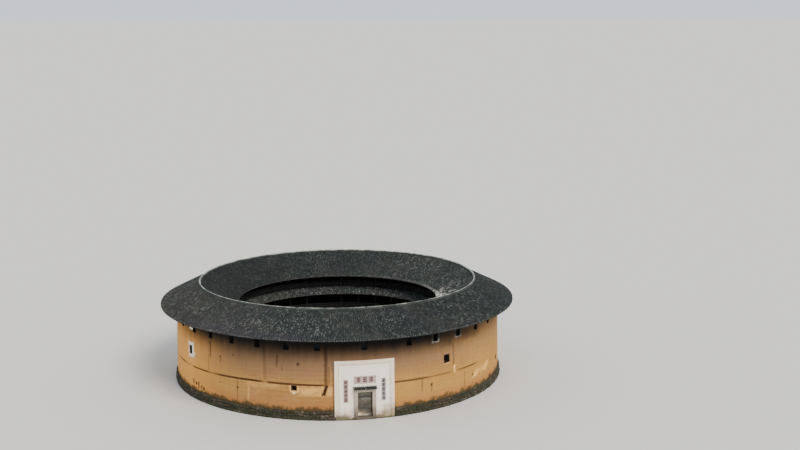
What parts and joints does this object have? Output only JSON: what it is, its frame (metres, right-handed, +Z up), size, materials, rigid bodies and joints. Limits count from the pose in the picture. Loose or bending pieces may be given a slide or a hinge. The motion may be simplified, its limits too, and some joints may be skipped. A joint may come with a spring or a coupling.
{
  "type": "tulou roundhouse",
  "caption": "Round rammed-earth house: thick ring wall on a stone footing, plastered gate, timber galleries round an open courtyard and a tiled ring roof.",
  "frame": {"origin": "on the vertical axis of the ring, at the ground that the footing stands on", "axes": "+Z up; the gate faces -Y and +X is to the right of someone who looks at the gate from outside"},
  "size_m": [37.06, 37.06, 10.19],
  "materials": {
    "rammed_earth": "matt",
    "rubble_stone": "rough",
    "plaster": "matt",
    "board_paint": "matt",
    "granite": "dressed",
    "cobbles": "worn",
    "roof_tile": "unglazed",
    "lime_mortar": "rough",
    "dark_timber": "weathered",
    "floorboards": "worn"
  },
  "bodies": {
    "house": {"footing_left": "rubble_stone", "footing_right": "rubble_stone", "wall_ground_left": "rammed_earth", "wall_ground_right": "rammed_earth", "wall_over_gate": "rammed_earth", "wall_middle_front_right": "rammed_earth", "wall_middle_right": "rammed_earth", "wall_middle_back_right": "rammed_earth", "wall_middle_back_left": "rammed_earth", "wall_middle_left": "rammed_earth", "wall_middle_front_left": "rammed_earth", "wall_top_front": "rammed_earth", "wall_top_front_right": "rammed_earth", "wall_top_right": "rammed_earth", "wall_top_back_right": "rammed_earth", "wall_top_back": "rammed_earth", "wall_top_back_left": "rammed_earth", "wall_top_left": "rammed_earth", "wall_top_front_left": "rammed_earth", "courtyard_floor": "cobbles", "ground_floor": "cobbles", "middle_floor": "floorboards", "top_floor": "floorboards", "gallery_frame_ground_right": "dark_timber", "gallery_frame_middle_right": "dark_timber", "gallery_frame_top_right": "dark_timber", "gallery_frame_ground_left": "dark_timber", "gallery_frame_middle_left": "dark_timber", "gallery_frame_top_left": "dark_timber", "gallery_rail_middle": "dark_timber", "gallery_rail_top": "dark_timber", "roof_outer_front_left": "roof_tile", "roof_outer_front_right": "roof_tile", "roof_outer_back_left": "roof_tile", "roof_outer_back_right": "roof_tile", "roof_inner_front_left": "roof_tile", "roof_inner_front_right": "roof_tile", "roof_inner_back_left": "roof_tile", "roof_inner_back_right": "roof_tile", "roof_ridge": "lime_mortar", "skirt_roof": "roof_tile", "gate_threshold": "granite", "gate_jamb_left": "granite", "gate_jamb_right": "granite", "gate_lintel": "granite", "gate_inner_lintel": "dark_timber", "gate_hood": "roof_tile", "gate_plaster": "plaster", "gate_plaster_border": "plaster", "name_board": "board_paint", "couplet_board_left": "board_paint", "couplet_board_right": "board_paint"},
    "left_leaf": {"gate_leaf_left": "dark_timber"},
    "right_leaf": {"gate_leaf_right": "dark_timber"}
  },
  "joints": [
    {"name": "left_leaf_hinge", "type": "hinge", "parent": "house", "child": "left_leaf", "pos_m": [-0.8, -16.695, 0.215], "axis": [0, 0, 1], "range_deg": [-90, 0]},
    {"name": "right_leaf_hinge", "type": "hinge", "parent": "house", "child": "right_leaf", "pos_m": [0.8, -16.695, 0.215], "axis": [0, 0, 1], "range_deg": [0, 90]}
  ]
}
